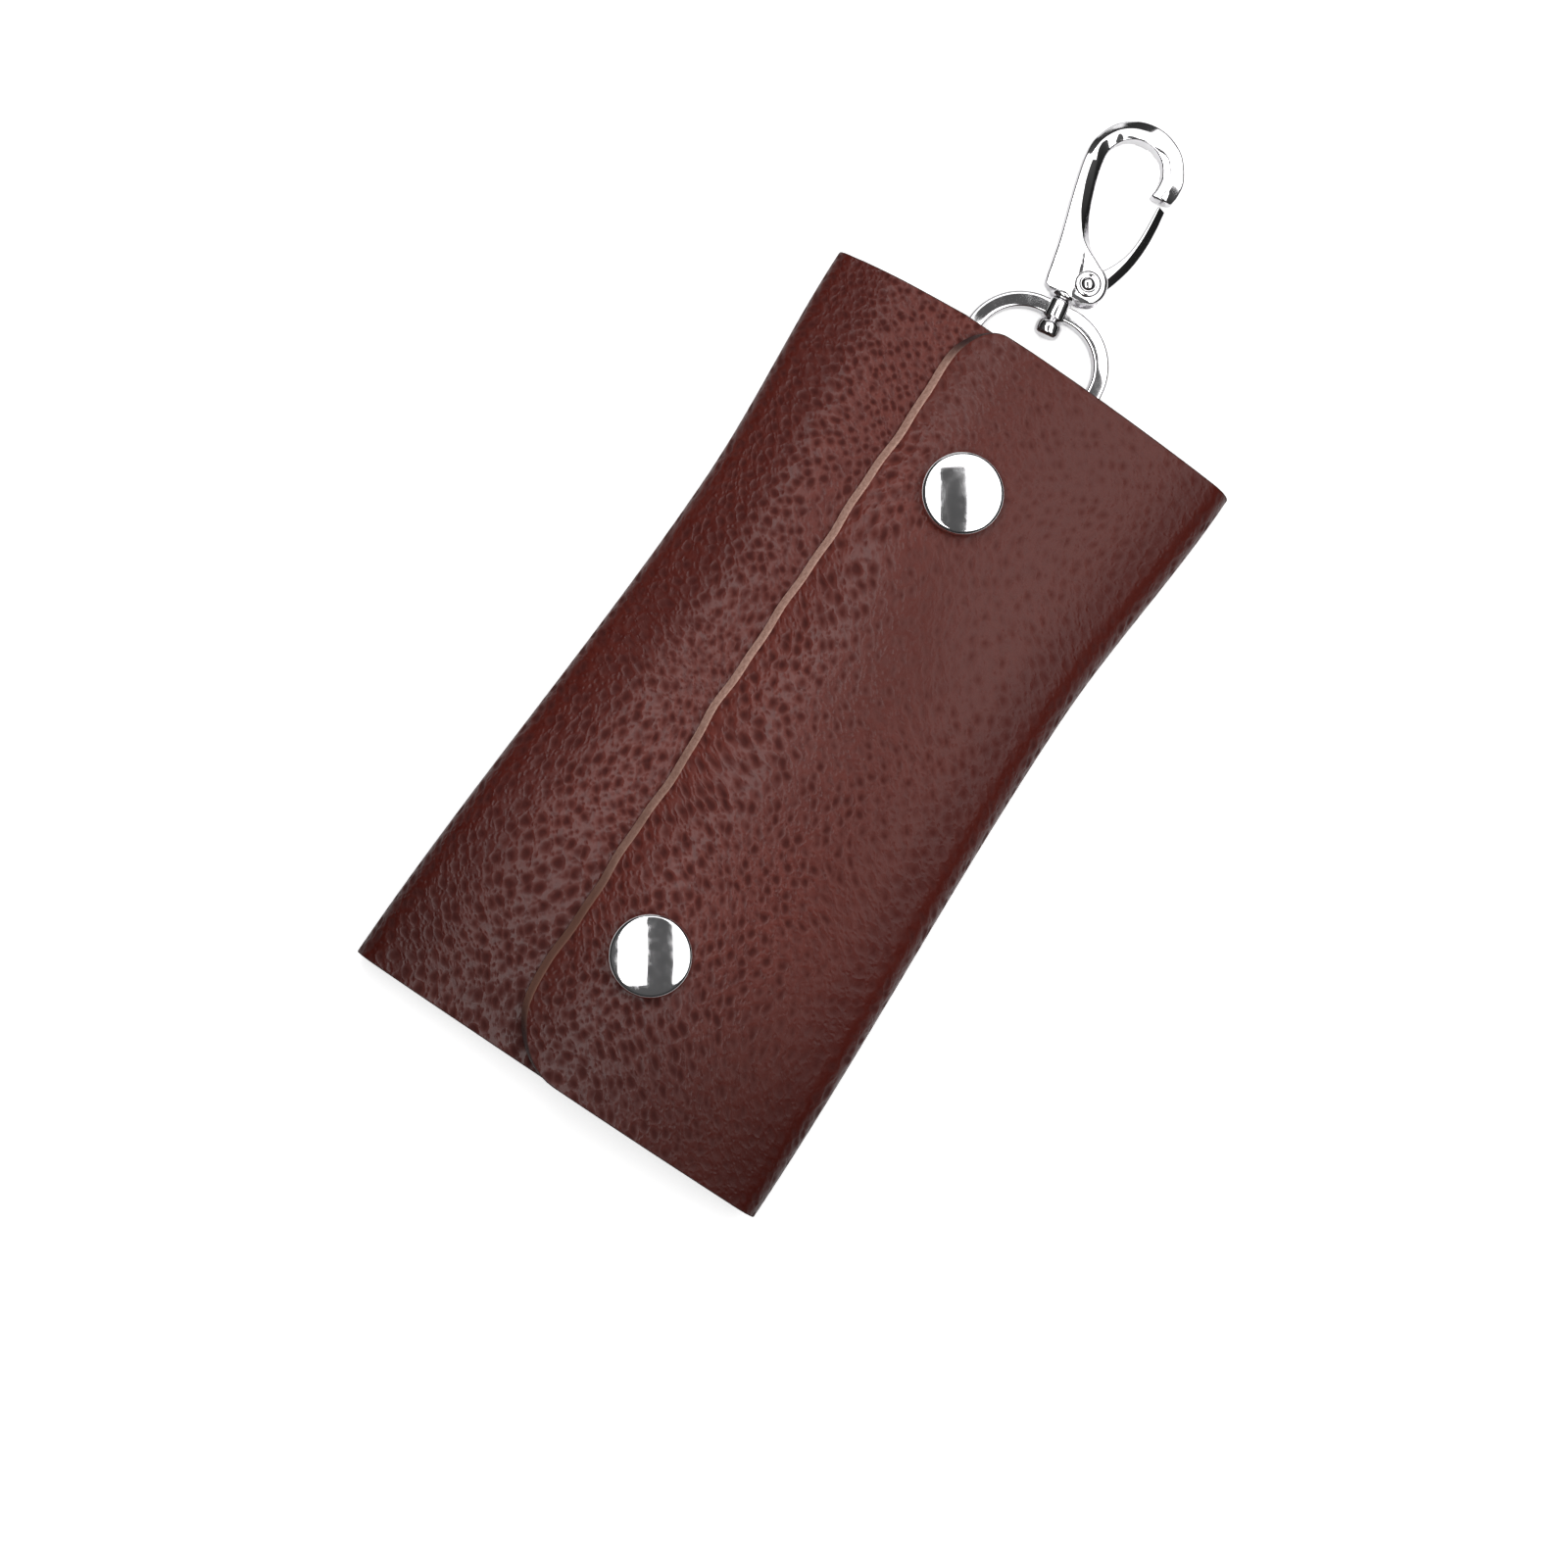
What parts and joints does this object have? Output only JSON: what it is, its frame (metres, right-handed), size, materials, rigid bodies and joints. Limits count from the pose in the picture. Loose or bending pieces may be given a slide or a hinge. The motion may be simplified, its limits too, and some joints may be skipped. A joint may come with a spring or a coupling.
{
  "type": "key case",
  "caption": "Folded leather key case closed by domed snaps, with key hooks on a plate inside and a swivel snap hook on a ring at one end",
  "frame": {"origin": "centre of the back's outer face, on the surface that the case lies on", "axes": "+Z out of the front, +Y along the case towards the snap hook, +X towards the fold of the outer flap"},
  "size_m": [0.0686, 0.1655, 0.0176],
  "materials": {
    "pebbled_leather": "pebble grain",
    "tab_leather": "smooth",
    "chrome": "polished",
    "nickel_steel": "nickel plated"
  },
  "bodies": {
    "case_back": {"back_panel": "pebbled_leather", "key_plate": "nickel_steel", "left_plate_rivet": "nickel_steel", "right_plate_rivet": "nickel_steel", "tab_rivet": "nickel_steel"},
    "outer_spine": {"outer_spine": "pebbled_leather"},
    "outer_flap": {"outer_flap": "pebbled_leather", "upper_snap_cap": "chrome", "upper_snap_socket": "nickel_steel", "upper_snap_spring": "nickel_steel", "lower_snap_cap": "chrome", "lower_snap_socket": "nickel_steel", "lower_snap_spring": "nickel_steel"},
    "inner_spine": {"inner_spine": "pebbled_leather"},
    "inner_flap": {"inner_flap": "pebbled_leather", "upper_snap_stud": "nickel_steel", "upper_snap_post": "nickel_steel", "lower_snap_stud": "nickel_steel", "lower_snap_post": "nickel_steel"},
    "ring_tab": {"ring_tab": "tab_leather"},
    "d_ring": {"d_ring": "chrome"},
    "snap_hook": {"snap_hook_body": "chrome", "gate_pin": "chrome", "gate_spring": "nickel_steel"},
    "hook_gate": {"hook_gate": "chrome"},
    "key_hook_1": {"key_hook_1": "nickel_steel"},
    "key_hook_gate_1": {"key_hook_gate_1": "nickel_steel"},
    "key_hook_2": {"key_hook_2": "nickel_steel"},
    "key_hook_gate_2": {"key_hook_gate_2": "nickel_steel"},
    "key_hook_3": {"key_hook_3": "nickel_steel"},
    "key_hook_gate_3": {"key_hook_gate_3": "nickel_steel"},
    "key_hook_4": {"key_hook_4": "nickel_steel"},
    "key_hook_gate_4": {"key_hook_gate_4": "nickel_steel"},
    "key_hook_5": {"key_hook_5": "nickel_steel"},
    "key_hook_gate_5": {"key_hook_gate_5": "nickel_steel"},
    "key_hook_6": {"key_hook_6": "nickel_steel"},
    "key_hook_gate_6": {"key_hook_gate_6": "nickel_steel"}
  },
  "joints": [
    {"name": "outer_fold_lower", "type": "hinge", "parent": "case_back", "child": "outer_spine", "pos_m": [0.0321, 0, 0.00061], "axis": [0, 1, 0], "range_deg": [0, 75]},
    {"name": "outer_fold_upper", "type": "hinge", "parent": "outer_spine", "child": "outer_flap", "pos_m": [0.03123, 0, 0.00929], "axis": [0, 1, 0], "range_deg": [0, 75]},
    {"name": "inner_fold_lower", "type": "hinge", "parent": "case_back", "child": "inner_spine", "pos_m": [-0.03235, 0, 0.00037], "axis": [0, -1, 0], "range_deg": [0, 34]},
    {"name": "inner_fold_upper", "type": "hinge", "parent": "inner_spine", "child": "inner_flap", "pos_m": [-0.03149, 0, 0.00775], "axis": [0, -1, 0], "range_deg": [0, 34]},
    {"name": "tab_swing", "type": "hinge", "parent": "case_back", "child": "ring_tab", "pos_m": [0.0008, 0.049, 0.0026], "axis": [0, 0, 1], "range_deg": [-18.5, 6.5]},
    {"name": "ring_tilt", "type": "hinge", "parent": "ring_tab", "child": "d_ring", "pos_m": [-0.00046, 0.05741, 0.00386], "axis": [0.989, 0.1478, 0], "range_deg": [-6, 22]},
    {"name": "hook_swivel", "type": "hinge", "parent": "d_ring", "child": "snap_hook", "pos_m": [-0.00258, 0.07163, 0.00313], "axis": [-0.1476, 0.9878, -0.0504], "continuous": true},
    {"name": "hook_gate_hinge", "type": "hinge", "parent": "snap_hook", "child": "hook_gate", "pos_m": [-0.00098, 0.07712, 0.00287], "axis": [-0.0075, 0.0499, 0.9987], "range_deg": [0, 20], "stiffness_Nm_per_rad": 0.01, "springref_deg": -17.19},
    {"name": "key_hook_1_spin", "type": "hinge", "parent": "case_back", "child": "key_hook_1", "pos_m": [-0.01975, 0.034, 0.00575], "axis": [0, 1, 0], "continuous": true},
    {"name": "key_hook_2_spin", "type": "hinge", "parent": "case_back", "child": "key_hook_2", "pos_m": [-0.01185, 0.034, 0.00575], "axis": [0, 1, 0], "continuous": true},
    {"name": "key_hook_3_spin", "type": "hinge", "parent": "case_back", "child": "key_hook_3", "pos_m": [-0.00395, 0.034, 0.00575], "axis": [0, 1, 0], "continuous": true},
    {"name": "key_hook_4_spin", "type": "hinge", "parent": "case_back", "child": "key_hook_4", "pos_m": [0.00395, 0.034, 0.00575], "axis": [0, 1, 0], "continuous": true},
    {"name": "key_hook_5_spin", "type": "hinge", "parent": "case_back", "child": "key_hook_5", "pos_m": [0.01185, 0.034, 0.00575], "axis": [0, 1, 0], "continuous": true},
    {"name": "key_hook_6_spin", "type": "hinge", "parent": "case_back", "child": "key_hook_6", "pos_m": [0.01975, 0.034, 0.00575], "axis": [0, 1, 0], "continuous": true},
    {"name": "key_hook_1_gate_flex", "type": "hinge", "parent": "key_hook_1", "child": "key_hook_gate_1", "pos_m": [-0.0188, 0.02806, 0.00575], "axis": [0, 0, -1], "range_deg": [0, 6], "stiffness_Nm_per_rad": 0.003, "springref_deg": -5.73},
    {"name": "key_hook_2_gate_flex", "type": "hinge", "parent": "key_hook_2", "child": "key_hook_gate_2", "pos_m": [-0.0109, 0.02806, 0.00575], "axis": [0, 0, -1], "range_deg": [0, 6], "stiffness_Nm_per_rad": 0.003, "springref_deg": -5.73},
    {"name": "key_hook_3_gate_flex", "type": "hinge", "parent": "key_hook_3", "child": "key_hook_gate_3", "pos_m": [-0.003, 0.02806, 0.00575], "axis": [0, 0, -1], "range_deg": [0, 6], "stiffness_Nm_per_rad": 0.003, "springref_deg": -5.73},
    {"name": "key_hook_4_gate_flex", "type": "hinge", "parent": "key_hook_4", "child": "key_hook_gate_4", "pos_m": [0.0049, 0.02806, 0.00575], "axis": [0, 0, -1], "range_deg": [0, 6], "stiffness_Nm_per_rad": 0.003, "springref_deg": -5.73},
    {"name": "key_hook_5_gate_flex", "type": "hinge", "parent": "key_hook_5", "child": "key_hook_gate_5", "pos_m": [0.0128, 0.02806, 0.00575], "axis": [0, 0, -1], "range_deg": [0, 6], "stiffness_Nm_per_rad": 0.003, "springref_deg": -5.73},
    {"name": "key_hook_6_gate_flex", "type": "hinge", "parent": "key_hook_6", "child": "key_hook_gate_6", "pos_m": [0.0207, 0.02806, 0.00575], "axis": [0, 0, -1], "range_deg": [0, 6], "stiffness_Nm_per_rad": 0.003, "springref_deg": -5.73}
  ],
  "couplings": [
    {"joint": "outer_fold_upper", "follows": "outer_fold_lower", "ratio": 1},
    {"joint": "inner_fold_lower", "follows": "outer_fold_lower", "ratio": 0.45},
    {"joint": "inner_fold_upper", "follows": "outer_fold_lower", "ratio": 0.45}
  ]
}
